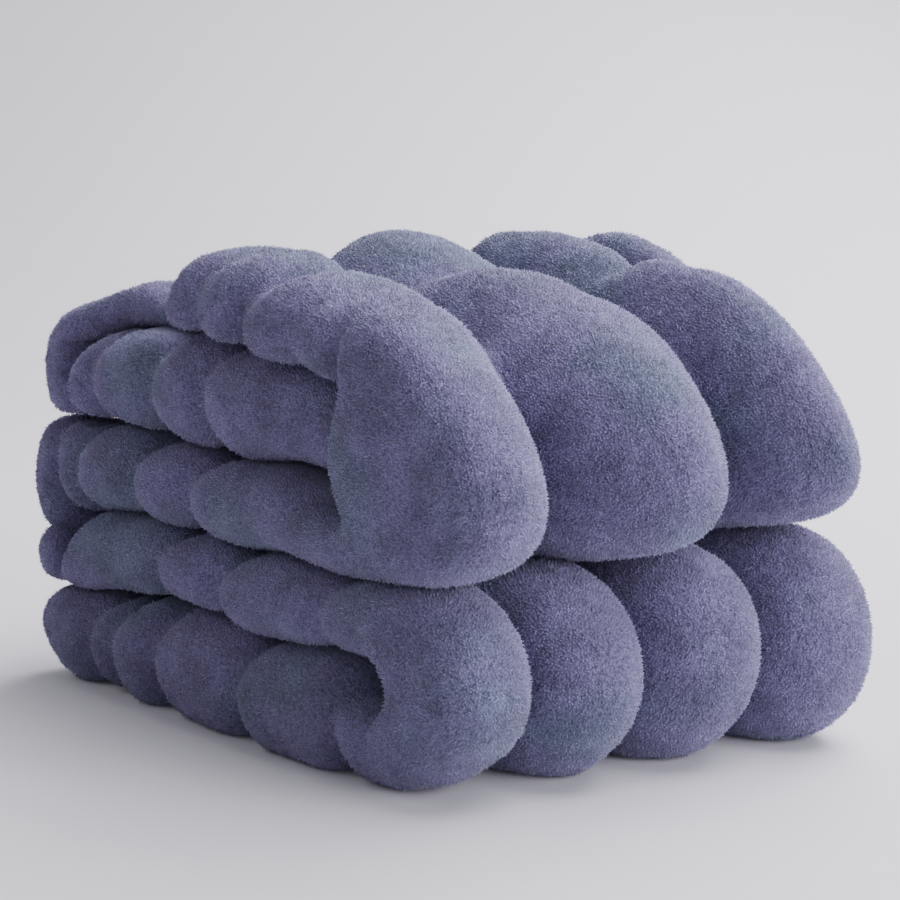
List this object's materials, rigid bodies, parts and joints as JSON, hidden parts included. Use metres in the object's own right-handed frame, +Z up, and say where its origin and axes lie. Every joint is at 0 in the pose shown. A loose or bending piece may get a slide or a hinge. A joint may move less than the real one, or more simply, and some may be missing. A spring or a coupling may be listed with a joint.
{
  "type": "folded flannel blanket",
  "caption": "Thick plush flannel blanket with padded channels, folded back and forth into a rounded stack that lies flat on a surface.",
  "frame": {"origin": "centre of the bounding box on the floor plane", "axes": "+X towards the two large rounded folds, -Y towards the front edge where the layers' ends show, +Z up"},
  "size_m": [0.4482, 0.305, 0.2659],
  "materials": {
    "flannel": "dense short plush pile, matt with a soft sheen"
  },
  "bodies": {
    "root": {"blanket": "flannel"}
  },
  "joints": []
}
